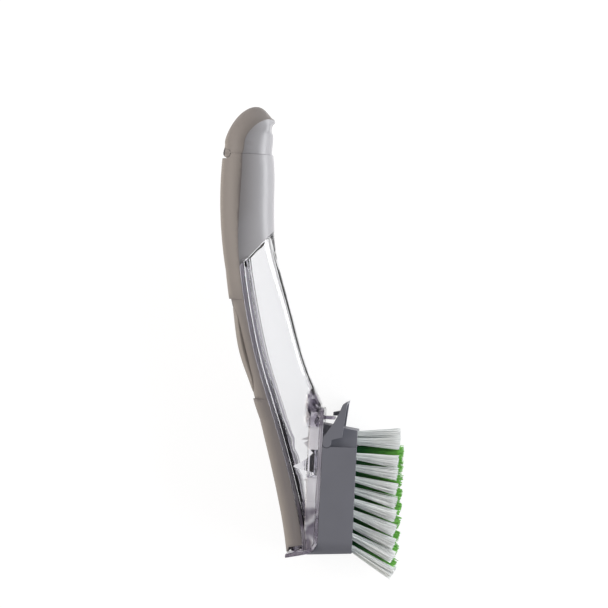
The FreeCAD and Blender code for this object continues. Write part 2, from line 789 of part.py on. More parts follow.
# Cap plug: a soft tapered cup held in the recess under the hood
cap_plug = body("cap_plug")
plug_top = fill_radius - dim("fit_gap")
plug_low = plug_top - dim("plug_draft")
revolved(cap_plug, body_sketch(cap_plug, "XY_Plane", "plug_profile", [
    (NIL, NIL), (plug_top - dim("plug_wall"), NIL), (plug_low - dim("plug_wall"), -dim("plug_depth")),
    (plug_low, -dim("plug_depth")), (plug_top, NIL), (plug_rim, NIL), (plug_rim, dim("plug_flange")),
    (NIL, dim("plug_flange"))]), "plug_turn")
place(cap_plug, fill_x, cap_floor, half_head)

# Head block: a hollow back that slides on the rails, a narrowed crown for the latch, bristle holes
ledge = dim("ledge_height")
block_body = plan("block_body", [
    (-dim("hook_reach"), -half_long - dim("hook_drop")), (half_thick, -half_long), (half_thick, ledge),
    (-dim("hook_reach"), ledge)], dim("head_width"))
crown_half = half_head - dim("crown_inset")
crown = plan("block_crown", [
    (-dim("hook_reach"), NIL), (half_thick, NIL), (half_thick, dim("crown_front")),
    (mount, dim("crown_back")), (-dim("hook_reach"), dim("crown_back"))], crown_half * 2)
face_low = -half_long * 1.06
face_round = drawn("block_face_outline", [
    (face_low, -half_head, dim("head_corner")), (far, -half_head), (far, half_head),
    (face_low, half_head, dim("head_corner"))])
place(face_round, NIL, NIL, half_head, ASIDE)
block_face = extruded("block_face", face_round, far)
foot_room = foot("foot_room", -weld)
block_sum = fuse("block_sum", block_body, crown)
block_trim = common("block_trim", block_sum, block_face)
hollow_x = half_thick - dim("head_front")
head_wall = dim("head_wall")
hollow_main = box(
    "hollow_main", mount - over, -half_long + head_wall * 1.6, head_wall,
    hollow_x - mount + over, half_long - head_wall * 2.6 + ledge, dim("head_width") - head_wall * 2)
hollow_top = box(
    "hollow_top", mount - over, NIL, dim("crown_inset") + head_wall * 1.4,
    hollow_x - mount + over, dim("crown_front") - head_wall,
    dim("head_width") - dim("crown_inset") * 2 - head_wall * 2.8)
block_tools = fuse("block_tools", hollow_main, hollow_top, foot_room)
block_shell = cut("block_shell", block_trim, block_tools)
guides = []
guide_wide = half_head - dim("rail_half") - dim("run_gap") - head_wall * 0.5
for n, sign in enumerate((1, -1)):
    low = half_head + dim("rail_half") + dim("run_gap") if sign > 0 else head_wall * 0.5
    guides.append(box(
        "guide_%d" % n, mount + weld, rail_low - over, low,
        dim("rail_rise") - plate - dim("fit_gap") - weld, dim("rail_length") + over * 2, guide_wide))
collar_low = spigot_end + dim("fit_gap")
collar = rod(
    "soap_collar", dim("outlet_radius") + dim("collar_wall"), hollow_x - collar_low,
    collar_low, valve_y, half_head, ALONG_X)
block_fitted = fuse("block_fitted", block_shell, collar, *guides)
collar_bore = rod(
    "collar_bore", dim("outlet_radius"), hollow_x - spigot_end + over, spigot_end - over, valve_y,
    half_head, ALONG_X)
soap_bore = rod(
    "soap_bore", dim("soap_hole"), dim("head_thickness") + over, -over, valve_y, half_head, ALONG_X)
pivot_x = -dim("pivot_back")
pivot_y = dim("pivot_height")
latch_tools = []
for n, low in enumerate((-over, dim("head_width") - dim("crown_inset"))):
    latch_tools.append(rod(
        "pivot_room_%d" % n, dim("pivot_boss") + dim("fit_gap"), dim("crown_inset") + over,
        pivot_x, pivot_y, low, ALONG_Z))
bore_deep = dim("trunnion_length") + dim("run_gap")
for n, low in enumerate((dim("crown_inset") - over, dim("head_width") - dim("crown_inset") - bore_deep)):
    latch_tools.append(rod(
        "pivot_bore_%d" % n, dim("trunnion_radius") + dim("fit_gap"), bore_deep + over, pivot_x, pivot_y, low,
        ALONG_Z))

# Bristle field: rows across the width, each tuft leaning further toward the toe.
# A tuft holds its place along the field in pitches, and across it as a share of the side row.
# The edge rows are trimmed to a plane, the inner rows a little shorter toward the heel,
# and the two middle rows leave room for the soap hole. The heel has two staggered rows of slim tufts.
side_row = half_head - dim("tuft_edge")
toe_y = dim("tuft_toe") - half_long
HEEL_SHARE = 9.55
EDGE_SHARE = 0.85
HEEL_TRIM_SHARE = 0.07
HEEL_TIP_SHARE = 0.8
MIDDLE_STEPS = (1, 2, 3, 4, 5, 8)
edge_rows = {
    "side_tufts_low": [(k, -1.0) for k in range(9)],
    "side_tufts_high": [(k, 1.0) for k in range(9)],
    "toe_tufts": [(0, s) for s in (-0.27, 0.27)],
    "heel_tufts": [(HEEL_SHARE - 0.27, s) for s in (-0.8, -0.4, 0.0, 0.4, 0.8)]
    + [(HEEL_SHARE + 0.27, s) for s in (-0.6, -0.2, 0.2, 0.6)],
}
inner_rows = {
    "inner_tufts_a": [(k + 0.5, -0.6) for k in range(9)],
    "inner_tufts_b": [(k + 0.5, -0.2) for k in MIDDLE_STEPS],
    "inner_tufts_c": [(k + 0.5, 0.2) for k in MIDDLE_STEPS],
    "inner_tufts_d": [(k + 0.5, 0.6) for k in range(9)],
}
holes = []
anchors = []
tuft_nodes = []
deep = dim("hole_depth")
for node, row in {**edge_rows, **inner_rows}.items():
    tufts = []
    for n, (step, side) in enumerate(row):
        lean = dim("heel_tilt") + (dim("toe_tilt") - dim("heel_tilt")) * (1 - step / HEEL_SHARE)
        cosine = turn("cos", lean)
        sine = turn("sin", lean)
        root_y = toe_y + dim("tuft_pitch") * step
        root_z = half_head + side_row * side
        at_x = half_thick - deep * cosine
        at_y = root_y + deep * sine
        hole = doc.addObject("Part::Cylinder", "hole_%s_%d" % (node, n))
        bind(hole, "Radius", dim("hole_radius"))
        bind(hole, "Height", deep + over * 2)
        place_turned(hole, at_x, at_y, root_z, -lean, 90, 0)
        holes.append(hole)
        rise = dim("anchor_rise")
        anchor = doc.addObject("Part::Box", "anchor_%s_%d" % (node, n))
        bind(anchor, "Length", rise)
        bind(anchor, "Width", dim("anchor_thick"))
        bind(anchor, "Height", dim("anchor_length"))
        side_step = dim("anchor_thick") / 2
        place_turned(
            anchor, at_x - side_step * sine, at_y - side_step * cosine, root_z - dim("anchor_length") / 2,
            -lean, 0, 0)
        anchors.append(anchor)
        tuft = doc.addObject("Part::Cone", "tuft_%s_%d" % (node, n))
        bind(tuft, "Radius1", dim("tuft_root"))
        bind(tuft, "Radius2", dim("tuft_tip") * (HEEL_TIP_SHARE if node == "heel_tufts" else 1))
        stand = dim("bristle_length")
        if node in edge_rows:
            stand = stand * EDGE_SHARE / cosine
        else:
            stand = stand * (1 - HEEL_TRIM_SHARE * step / HEEL_SHARE)
        bind(tuft, "Height", stand + deep - rise)
        place_turned(tuft, at_x + rise * cosine, at_y - rise * sine, root_z, -lean, 90, 0)
        tufts.append(tuft)
    group = doc.addObject("Part::Compound", node)
    group.Links = tufts
    tuft_nodes.append(group)
tuft_anchors = doc.addObject("Part::Compound", "tuft_anchors")
tuft_anchors.Links = anchors
head_holes = doc.addObject("Part::Compound", "head_holes")
head_holes.Links = holes
block_bored = cut("block_bored", block_fitted, fuse("block_bores", collar_bore, *latch_tools))
block_soap = cut("block_soap", block_bored, soap_bore)
head_block = cut("head_block", block_soap, head_holes)

# Latch lever: two cheeks beside the crown, a thumb plate between them, a nose over the tongue
latch_lever = body("latch_lever")
thumb_top = dim("nose_height") + dim("lever_thick") * 3.05
boss_r = dim("pivot_boss")
lever_t = dim("lever_plate")
plate_line = [
    (-dim("head_thickness") * 0.205, dim("crown_back") + lever_t * 0.4),
    (-dim("head_thickness") * 0.065, dim("nose_height") + lever_t * 0.8, boss_r * 6),
    (dim("head_thickness") * 0.05, thumb_top - lever_t * 0.7, boss_r),
    (dim("head_thickness") * 0.19, thumb_top),
]
plate_under = [
    (dim("head_thickness") * 0.165, thumb_top - lever_t * 1.0),
    (dim("head_thickness") * 0.12, thumb_top - lever_t * 1.4, boss_r),
    (dim("head_thickness") * 0.03, dim("nose_height") + lever_t * 0.4, boss_r * 6),
    (-dim("head_thickness") * 0.115, dim("crown_back") + lever_t * 0.1),
]
padded(latch_lever, body_sketch(latch_lever, "XY_Plane", "thumb_outline", (plate_line + plate_under)[::-1]),
       "thumb_pad", dim("head_width"))
cheek_line = [
    (pivot_x - boss_r, pivot_y - boss_r, boss_r * 0.95),
    (pivot_x - boss_r, pivot_y + boss_r * 1.3),
] + plate_line + [
    (dim("head_thickness") * 0.165, thumb_top - lever_t * 1.0),
    (dim("head_thickness") * 0.065, pivot_y + boss_r * 1.5, boss_r * 0.3),
    (pivot_x + boss_r, pivot_y + boss_r * 0.8, boss_r * 0.4),
    (pivot_x + boss_r, pivot_y - boss_r, boss_r * 0.95),
]
cheek_side = dim("lever_thick")
padded(latch_lever, body_sketch(latch_lever, "XY_Plane", "cheek_low_outline", cheek_line[::-1]),
       "cheek_low", cheek_side)
padded(latch_lever, body_sketch(
    latch_lever, "XY_Plane", "cheek_high_outline", cheek_line[::-1], dim("head_width") - cheek_side),
    "cheek_high", cheek_side)
nose_x = -dim("nose_reach")
padded(latch_lever, body_sketch(latch_lever, "XY_Plane", "nose_outline", [
    (nose_x, dim("nose_height")), (NIL, dim("nose_height")),
    (NIL, dim("nose_height") + dim("nose_thick") * 1.6),
    (nose_x, dim("nose_height") + dim("nose_thick"))], half_head - dim("nose_half")),
    "nose_pad", dim("nose_half") * 2)
for n, low in enumerate((cheek_side - weld, dim("head_width") - cheek_side - dim("trunnion_length"))):
    t = dim("trunnion_radius")
    padded(latch_lever, body_sketch(latch_lever, "XY_Plane", "trunnion_outline_%d" % n, [
        (pivot_x - t, pivot_y - t, t * 0.98), (pivot_x + t, pivot_y - t, t * 0.98),
        (pivot_x + t, pivot_y + t, t * 0.98), (pivot_x - t, pivot_y + t, t * 0.98)], low),
        "trunnion_%d" % n, dim("trunnion_length") + weld)

doc.recompute()

# Every piece is checked, named and written to its own file
nodes = [
    reservoir_front, reservoir_back, back_grip, base_plate, fill_neck, cap_hinge_pin, slit_valve,
    valve_retainer, button_web, soap_button, fill_cap, cap_plug, head_block, latch_lever, tuft_anchors,
] + tuft_nodes
for item in doc.Objects:
    if "Invalid" in item.State or "Error" in item.State:
        raise RuntimeError("not built: " + item.Name)
for item in nodes:
    item.Label = item.Name
    shape = item.Shape
    if shape.isNull() or not shape.isValid():
        raise RuntimeError("bad shape: " + item.Name)
    shape.exportStep("parts/%s.step" % item.Label)
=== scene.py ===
# %% [markdown]
# A dish wand lies on its side: a clear soap chamber with a soft gray grip along its back, a hooded fill
# cap at the top end, and a gray brush head with white and green bristles at the other end.
# The solids come from the CAD model. This lesson gives them their finishes, swaps each solid tuft for
# real filaments, and sets up the light and the camera.

# %% Load the solids
import json
import math
import random

import bpy
import numpy as np
from mathutils import Matrix, Vector


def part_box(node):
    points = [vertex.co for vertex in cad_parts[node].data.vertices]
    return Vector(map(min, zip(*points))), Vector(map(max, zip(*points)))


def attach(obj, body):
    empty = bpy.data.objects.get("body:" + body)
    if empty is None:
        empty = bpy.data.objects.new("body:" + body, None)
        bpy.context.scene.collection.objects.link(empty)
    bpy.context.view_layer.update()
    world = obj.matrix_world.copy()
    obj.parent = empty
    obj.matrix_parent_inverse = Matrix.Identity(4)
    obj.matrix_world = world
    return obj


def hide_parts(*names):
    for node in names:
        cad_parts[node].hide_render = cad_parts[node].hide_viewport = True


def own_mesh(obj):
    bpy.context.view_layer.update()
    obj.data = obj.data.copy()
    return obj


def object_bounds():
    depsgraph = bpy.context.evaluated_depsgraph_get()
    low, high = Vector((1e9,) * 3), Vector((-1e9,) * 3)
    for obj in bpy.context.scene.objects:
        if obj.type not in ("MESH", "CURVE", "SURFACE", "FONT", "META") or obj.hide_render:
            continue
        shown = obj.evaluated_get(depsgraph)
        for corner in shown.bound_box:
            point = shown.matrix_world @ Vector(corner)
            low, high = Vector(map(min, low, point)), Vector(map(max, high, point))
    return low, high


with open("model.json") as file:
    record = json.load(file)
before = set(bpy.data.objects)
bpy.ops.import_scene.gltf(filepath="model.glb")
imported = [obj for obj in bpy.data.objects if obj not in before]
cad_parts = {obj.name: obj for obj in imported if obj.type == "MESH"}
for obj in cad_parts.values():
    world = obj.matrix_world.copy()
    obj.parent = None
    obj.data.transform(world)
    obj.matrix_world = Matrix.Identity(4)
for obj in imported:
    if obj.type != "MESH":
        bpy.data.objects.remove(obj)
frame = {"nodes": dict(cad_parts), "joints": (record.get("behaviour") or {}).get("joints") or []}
cad_box = [list(corner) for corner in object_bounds()]
nodes = frame["nodes"]
joints = {joint["name"]: joint for joint in frame["joints"]}
MM = 0.001
print("solids:", len(nodes), "joints:", list(joints), "box:", cad_box)

# %% [markdown]
# Operators act on whatever is selected, so every step starts from a known selection. A solid's mesh is
# loose triangles. A copy of it has them merged and its flat faces made whole, which lets the shading run
# smoothly over the curves and break at the edges.

# %% Picking and copying
MERGE_REACH = 0.002 * MM
FLAT_ANGLE = math.radians(0.4)


def pick(*objects):
    """Select these objects and nothing else."""
    if bpy.context.object and bpy.context.object.mode != "OBJECT":
        bpy.ops.object.mode_set(mode="OBJECT")
    bpy.ops.object.select_all(action="DESELECT")
    for item in objects:
        item.select_set(True)
    bpy.context.view_layer.objects.active = objects[-1]


def merged_copy(node, name):
    """A copy of a solid's mesh with its loose triangles joined up and its flat faces made whole."""
    piece = bpy.data.objects.new(name, nodes[node].data.copy())
    bpy.context.scene.collection.objects.link(piece)
    piece.data.materials.clear()
    pick(piece)
    bpy.ops.mesh.customdata_custom_splitnormals_clear()
    bpy.ops.object.mode_set(mode="EDIT")
    bpy.ops.mesh.select_all(action="SELECT")
    bpy.ops.mesh.remove_doubles(threshold=MERGE_REACH)
    bpy.ops.mesh.dissolve_limited(angle_limit=FLAT_ANGLE)
    bpy.ops.object.mode_set(mode="OBJECT")
    return piece


print("flat faces are made whole up to", FLAT_ANGLE, "radians")

# %% [markdown]
# A dressed copy stands in for its solid and rides on the same body. Moulded rims are never sharp, so a bevel
# can round them. Its normals are hardened, or the large flat faces beside a rim would look dented. A piece
# that changes finish along its length is cut across first.

# %% Rounding and dressing
ROUND_ANGLE = math.radians(38)
ROUND_STEPS = 3
SMOOTH_ANGLE = math.radians(32)


def rounded(piece, width):
    """Round the sharp edges of a piece by a width in millimetres."""
    pick(piece)
    bevel = piece.modifiers.new("rounding", "BEVEL")
    bevel.width = width * MM
    bevel.segments = ROUND_STEPS
    bevel.limit_method = "ANGLE"
    bevel.angle_limit = ROUND_ANGLE
    bevel.use_clamp_overlap = False
    bevel.harden_normals = True
    bpy.ops.object.modifier_apply(modifier="rounding")


def dressed(node, body, name, edge=0, cuts=()):
    """A smooth-shaded copy that stands for the solid and rides on its body.
    cuts are heights along Y where its faces are parted, so that each part can have its own finish."""
    piece = merged_copy(node, name)
    bpy.ops.object.mode_set(mode="EDIT")
    for height in cuts:
        bpy.ops.mesh.select_all(action="SELECT")
        bpy.ops.mesh.bisect(plane_co=(0, height, 0), plane_no=(0, 1, 0))
    bpy.ops.object.mode_set(mode="OBJECT")
    bpy.ops.object.shade_smooth_by_angle(angle=SMOOTH_ANGLE)
    if edge:
        rounded(piece, edge)
    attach(piece, body)
    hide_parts(node)
    print(name, len(piece.data.polygons), "faces")
    return piece


# %% [markdown]
# A finish is a small tree of nodes, and a few kinds of node come back in every tree: a mix of two tones, a
# change of range, and a sum. Each gets a helper that wires the node up and hands on its output.

# %% Node helpers


def mixed(tree, one, two, share):
    """A mix of two tones, each a colour or the output of a node, by the output share."""
    node = tree.nodes.new("ShaderNodeMix")
    node.data_type = "RGBA"
    for label, tone in (("A", one), ("B", two)):
        if isinstance(tone, tuple):
            node.inputs[label].default_value = (*tone, 1)
        else:
            tree.links.new(tone, node.inputs[label])
    tree.links.new(share, node.inputs["Factor"])
    return node.outputs["Result"]


def ranged(tree, value, start, end, low=0.0, high=1.0, smooth=False):
    """A value taken from the range start to end into the range low to high."""
    node = tree.nodes.new("ShaderNodeMapRange")
    node.interpolation_type = "SMOOTHSTEP" if smooth else "LINEAR"
    for label, number in (("From Min", start), ("From Max", end), ("To Min", low), ("To Max", high)):
        node.inputs[label].default_value = number
    tree.links.new(value, node.inputs["Value"])
    return node.outputs["Result"]


def summed(tree, operation, one, two):
    """A sum on two outputs, or on an output and a number."""
    node = tree.nodes.new("ShaderNodeMath")
    node.operation = operation
    for socket, term in zip(node.inputs, (one, two)):
        if isinstance(term, float):
            socket.default_value = term
        else:
            tree.links.new(term, socket)
    return node.outputs["Value"]


def own_place(tree):
    """The place of a point on its piece."""
    return tree.nodes.new("ShaderNodeTexCoord").outputs["Object"]


def own_axes(tree):
    """The place of a point, as separate X, Y and Z."""
    axes = tree.nodes.new("ShaderNodeSeparateXYZ")
    tree.links.new(own_place(tree), axes.inputs["Vector"])
    return axes.outputs


print("node helpers: mix, range, sum, place")

# %% [markdown]
# Moulded plastic is never one flat tone. A fine grain from the mould breaks up the highlights, and a
# broad mottle shifts the tone a little. Both are noise on Object coordinates, kept in one node group so
# that every moulded finish can use them with its own sizes.

# %% Grain and mottle, shared by the moulded finishes
NOISE_DETAIL = 4


def grain_group():
    """One node group with two noises: the fine grain and the broad mottle."""
    group = bpy.data.node_groups.new("moulded_grain", "ShaderNodeTree")
    for label in ("Grain Scale", "Mottle Scale"):
        group.interface.new_socket(name=label, in_out="INPUT", socket_type="NodeSocketFloat")
    for label in ("Grain", "Mottle"):
        group.interface.new_socket(name=label, in_out="OUTPUT", socket_type="NodeSocketFloat")
    enter = group.nodes.new("NodeGroupInput")
    leave = group.nodes.new("NodeGroupOutput")
    place = own_place(group)
    for label in ("Grain", "Mottle"):
        noise = group.nodes.new("ShaderNodeTexNoise")
        noise.inputs["Detail"].default_value = NOISE_DETAIL
        group.links.new(place, noise.inputs["Vector"])
        group.links.new(enter.outputs[label + " Scale"], noise.inputs["Scale"])
        group.links.new(noise.outputs["Fac"], leave.inputs[label])
    return group


moulded_grain = grain_group()


def grain_node(tree, grain, mottle):
    """The outputs of the shared group, with the scales of one finish."""
    surface = tree.nodes.new("ShaderNodeGroup")
    surface.node_tree = moulded_grain
    surface.inputs["Grain Scale"].default_value = grain
    surface.inputs["Mottle Scale"].default_value = mottle
    return surface.outputs


def blank_material(name):
    """A new material, its node tree and its shader."""
    material = bpy.data.materials.new(name)
    material.use_nodes = True
    return material, material.node_tree, material.node_tree.nodes["Principled BSDF"]


print("shared group:", moulded_grain.name)

# %% [markdown]
# Each opaque finish is a Principled shader. The mottle mixes two close tones and two close roughness
# values, the grain makes a shallow bump, and a Bevel node rounds the look of sharp moulded edges. A piece
# may carry a point attribute of painted light; where it is high, a paler tone paints in the light there.

# %% How an opaque finish is made
GRAIN_SCALE = 2500
MOTTLE_SCALE = 60
GRAIN_STRENGTH = 0.5
CORNER = 0.3 * MM
CORNER_SAMPLES = 4


def moulded_finish(name, deep, pale, smooth, rough, bump=0.04, lit_tone=None):
    """deep and pale are tones, and the last tone is painted light, laid on where the piece's attribute is
    high.
    smooth and rough are the two roughness values, bump is in millimetres.
    """
    material, tree, shader = blank_material(name)
    link = tree.links.new
    surface = grain_node(tree, GRAIN_SCALE, MOTTLE_SCALE)
    tone = mixed(tree, deep, pale, surface["Mottle"])
    # Painted light: where the piece's attribute is high, the paler tone is mixed in.
    if lit_tone:
        painted_light = tree.nodes.new("ShaderNodeAttribute")
        painted_light.attribute_name = "painted_light"
        tone = mixed(tree, tone, lit_tone, painted_light.outputs["Fac"])
    link(tone, shader.inputs["Base Color"])
    link(ranged(tree, surface["Mottle"], 0, 1, smooth, rough), shader.inputs["Roughness"])
    corner = tree.nodes.new("ShaderNodeBevel")
    corner.samples = CORNER_SAMPLES
    corner.inputs["Radius"].default_value = CORNER
    relief = tree.nodes.new("ShaderNodeBump")
    relief.inputs["Strength"].default_value = GRAIN_STRENGTH
    relief.inputs["Distance"].default_value = bump * MM
    link(surface["Grain"], relief.inputs["Height"])
    link(corner.outputs["Normal"], relief.inputs["Normal"])
    link(relief.outputs["Normal"], shader.inputs["Normal"])
    return material


print("grain and mottle scales:", GRAIN_SCALE, MOTTLE_SCALE)

# %% [markdown]
# The back of the grip is matte rubber and its sides are satin. The brush block is a cool gray plastic, the
# stopper a pale rubber and the valve's ring a dark one. The hinge pin and the tuft anchors are steel.

# %% Opaque moulded finishes
# The third tone of the grip rubber and of the satin is painted light, laid on by each piece's attribute.
grip_rubber = moulded_finish(
    "grip_rubber", (0.094, 0.084, 0.086), (0.115, 0.103, 0.105), 0.5, 0.6,
    bump=0.06, lit_tone=(0.26, 0.236, 0.212))
satin_gray = moulded_finish(
    "satin_gray", (0.165, 0.16, 0.165), (0.195, 0.19, 0.195), 0.32, 0.42,
    bump=0.02, lit_tone=(0.37, 0.365, 0.375))
block_gray = moulded_finish("block_gray", (0.145, 0.148, 0.17), (0.178, 0.182, 0.21), 0.42, 0.52)
pale_rubber = moulded_finish("pale_rubber", (0.5, 0.5, 0.49), (0.6, 0.6, 0.58), 0.5, 0.6)
dark_rubber = moulded_finish("dark_rubber", (0.03, 0.035, 0.042), (0.05, 0.056, 0.066), 0.4, 0.5)
pin_steel = moulded_finish("pin_steel", (0.45, 0.45, 0.46), (0.6, 0.6, 0.61), 0.25, 0.35)
pin_steel.node_tree.nodes["Principled BSDF"].inputs["Metallic"].default_value = 1
print("opaque finishes:", len(bpy.data.materials))

# %% [markdown]
# Where the thick clear foot was moulded and welded, at the toe and at the heel, its surface is wavy with
# flow marks. They could be sculpted, but they are too fine for the mesh. A node group makes the relief from
# noise and fades it out along the handle. The same noise says where the plastic is deep and takes a darker
# tint.

# %% Flow marks
FLOW_SCALE = 120
FLOW_DETAIL = 0.5
FLOW_DISTORTION = 0.9
SHALLOW_NOISE = 0.7
DEEP_NOISE = 0.5
HEEL_FADE = 5 * MM
SIDE_FADE = 4 * MM


def flow_group(toe_from, toe_to, heel_from, heel_to, heel_end, heel_side):
    """The marks grow toward the toe below toe_from, and past heel_side from heel_from up to heel_end."""
    group = bpy.data.node_groups.new("flow_marks", "ShaderNodeTree")
    for label in ("Height", "Depth"):
        group.interface.new_socket(name=label, in_out="OUTPUT", socket_type="NodeSocketFloat")
    leave = group.nodes.new("NodeGroupOutput")
    axes = own_axes(group)
    toe = ranged(group, axes["Y"], toe_from, toe_to, smooth=True)
    heel_start = ranged(group, axes["Y"], heel_from, heel_to, smooth=True)
    heel_stop = ranged(group, axes["Y"], heel_end + HEEL_FADE, heel_end, smooth=True)
    heel_front = ranged(group, axes["X"], heel_side - SIDE_FADE, heel_side, smooth=True)
    heel = summed(group, "MULTIPLY", summed(group, "MULTIPLY", heel_start, heel_stop), heel_front)
    marked = summed(group, "MAXIMUM", toe, heel)
    noise = group.nodes.new("ShaderNodeTexNoise")
    noise.inputs["Scale"].default_value = FLOW_SCALE
    noise.inputs["Detail"].default_value = FLOW_DETAIL
    noise.inputs["Distortion"].default_value = FLOW_DISTORTION
    group.links.new(own_place(group), noise.inputs["Vector"])
    height = summed(group, "MULTIPLY", noise.outputs["Fac"], marked)
    group.links.new(height, leave.inputs["Height"])
    patch = ranged(group, noise.outputs["Fac"], SHALLOW_NOISE, DEEP_NOISE, smooth=True)
    group.links.new(summed(group, "MULTIPLY", patch, marked), leave.inputs["Depth"])
    return group


print("flow marks per metre:", FLOW_SCALE)

# %% [markdown]
# The marks take their places from the solids: from a little below the valve's ring down to the toe, and
# round the upper end of the base plate at the heel.

# %% Where the flow marks lie
RING_ROOM = 0.4 * MM
TOE_START = 12 * MM
TOE_FULL = 20 * MM
HEEL_START = 12 * MM
HEEL_FULL = 6 * MM
ring_low, ring_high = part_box("valve_retainer")
plate_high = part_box("base_plate")[1]
foot_back = ring_low.x - RING_ROOM
flow_marks = flow_group(
    toe_from=ring_low.y - TOE_START, toe_to=ring_low.y - TOE_FULL,
    heel_from=plate_high.y - HEEL_START, heel_to=plate_high.y - HEEL_FULL,
    heel_end=plate_high.y + HEEL_FULL, heel_side=foot_back)
print("flow marks end at the foot band:", foot_back)

# %% [markdown]
# The chamber is clear polished plastic: transmission, a plastic's index of refraction, and a trace of haze
# that varies with the mottle. Thin walls, thick rims, weld lines and the milky foot bend and hold back the
# light differently, so each is a finish of its own, made by one function. A lower index stands for plastic
# that is pressed against its neighbour with little air between.

# %% How a clear finish is made
DEEP_TINT = (0.2, 0.175, 0.225)
CLEAR_GRAIN = 900
CLEAR_MOTTLE = 45
FLOW_RELIEF = 2.5 * MM


def clear_finish(name, deep, pale, polish=0.0, haze=0.03, index=1.5, clear=1.0):
    """deep and pale are the two tints, polish and haze the two roughness values, index the refraction.
    clear is the share of light that passes; the rest is scattered, which looks milky."""
    material, tree, shader = blank_material(name)
    link = tree.links.new
    surface = grain_node(tree, CLEAR_GRAIN, CLEAR_MOTTLE)
    flow = tree.nodes.new("ShaderNodeGroup")
    flow.node_tree = flow_marks
    tone = mixed(tree, deep, pale, surface["Mottle"])
    link(mixed(tree, tone, DEEP_TINT, flow.outputs["Depth"]), shader.inputs["Base Color"])
    link(ranged(tree, surface["Mottle"], 0, 1, polish, haze), shader.inputs["Roughness"])
    relief = tree.nodes.new("ShaderNodeBump")
    relief.inputs["Strength"].default_value = 1
    relief.inputs["Distance"].default_value = FLOW_RELIEF
    link(flow.outputs["Height"], relief.inputs["Height"])
    link(relief.outputs["Normal"], shader.inputs["Normal"])
    shader.inputs["IOR"].default_value = index
    shader.inputs["Transmission Weight"].default_value = clear
    return material


print("deep tint:", DEEP_TINT)

# %% [markdown]
# Thin walls are nearly colourless. The back shell, the weld lines, the flange and the plate are seen through
# more plastic and take deeper tints, and the foot is milky but for its window.

# %% Clear finishes
clear_plastic = clear_finish("clear_plastic", (0.96, 0.965, 0.975), (0.99, 0.99, 1.0))
thick_plastic = clear_finish("thick_plastic", (0.52, 0.5, 0.56), (0.66, 0.64, 0.7))
weld_plastic = clear_finish("weld_plastic", (0.2, 0.19, 0.225), (0.3, 0.285, 0.33), 0.12, 0.2)
flange_plastic = clear_finish(
    "flange_plastic", (0.24, 0.23, 0.265), (0.34, 0.325, 0.37), 0.25, 0.35, clear=0.5)
foot_plastic = clear_finish(
    "foot_plastic", (0.78, 0.77, 0.81), (0.84, 0.83, 0.87), 0.02, 0.06, index=1.06, clear=0.96)
milky_plastic = clear_finish("milky_plastic", (0.74, 0.73, 0.77), (0.82, 0.81, 0.85), 0.3, 0.4, clear=0.35)
heel_plastic = clear_finish("heel_plastic", (0.5, 0.47, 0.53), (0.7, 0.67, 0.73))
plate_plastic = clear_finish("plate_plastic", (0.36, 0.34, 0.39), (0.46, 0.44, 0.49), index=1.2, clear=0.6)
tower_plastic = clear_finish("tower_plastic", (0.86, 0.85, 0.88), (0.92, 0.91, 0.94), index=1.06)
clear_silicone = clear_finish("clear_silicone", (0.88, 0.88, 0.9), (0.95, 0.95, 0.96), 0.2, 0.3, index=1.1)
print("finishes so far:", len(bpy.data.materials))

# %% [markdown]
# Bristles are drawn nylon, some white and some dyed green. Each filament takes the light a little
# differently. A random value on each filament picks its tone. Both colours are painted darker at the root and
# brighter toward the tip, painted shade from their neighbours, most on the green ones.

# %% Bristle finishes
NYLON_ROUGHNESS = 0.42
NYLON_INDEX = 1.5


def filament_finish(name, root, tip, spread, start, end):
    """root and tip are tones at the block and at the trimmed ends, start and end where they lie along X."""
    material, tree, shader = blank_material(name)
    link = tree.links.new
    # Painted shade: the tone darkens from the tip toward the root.
    tone = mixed(tree, root, tip, ranged(tree, own_axes(tree)["X"], start, end))
    strand = tree.nodes.new("ShaderNodeAttribute")
    strand.attribute_name = "strand"
    final = tree.nodes.new("ShaderNodeVectorMath")
    final.operation = "SCALE"
    link(tone, final.inputs["Vector"])
    link(ranged(tree, strand.outputs["Fac"], 0, 1, 1 - spread, 1 + spread), final.inputs["Scale"])
    link(final.outputs["Vector"], shader.inputs["Base Color"])
    shader.inputs["Roughness"].default_value = NYLON_ROUGHNESS
    shader.inputs["IOR"].default_value = NYLON_INDEX
    return material


block_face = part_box("head_block")[1].x
tip_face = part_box("inner_tufts_d")[1].x
white_nylon = filament_finish(
    "white_nylon", (0.78, 0.82, 0.8), (0.88, 0.9, 0.89), 0.1, block_face, tip_face)
green_nylon = filament_finish(
    "green_nylon", (0.015, 0.16, 0.045), (0.2, 0.56, 0.09), 0.3, block_face, tip_face)
print("bristles run from", block_face, "to", tip_face)

# %% [markdown]
# The chamber is two clear shells welded along a seam that runs up the handle. The weld shows as a dark line
# on the flat flanges beside the seam. The line of the seam is measured on the back shell, where its faces
# look forward. A face counts as weld where it lies flat to the side and a corner of it is near that line.

# %% Seam of the clear halves
SEAM_TURN = 0.7
SIDE_SHARE = 0.75
WELD_REACH = 2.2 * MM
FLAT_TURN = 0.995
seam_points = []
back_half = nodes["reservoir_back"].data
half_height = plate_high.z / 2
for face in back_half.polygons:
    if face.normal.x > SEAM_TURN and face.center.z > SIDE_SHARE * plate_high.z:
        seam_points += [back_half.vertices[v].co for v in face.vertices]
seam_points.sort(key=lambda point: point.y)
seam_y = [point.y for point in seam_points]
seam_x = [point.x for point in seam_points]


def on_weld(shell, face):
    """Whether a face lies on the flat flange beside the seam."""
    outward = face.normal.z if face.center.z > half_height else -face.normal.z
    corners = [shell.data.vertices[v].co for v in face.vertices]
    off_seam = min(abs(point.x - np.interp(point.y, seam_y, seam_x)) for point in corners)
    return outward > FLAT_TURN and off_seam < WELD_REACH


print("points on the seam:", len(seam_points))

# %% [markdown]
# The front shell ends in a thick foot that stands on the brush head. The foot looks milky, has a clear
# window where the valve's dark ring shows through, and is wavy at the heel. One piece could have a painted
# mask for that, but clear plastic needs a plain transmission, so the foot is cut across and its bands take
# different finishes.

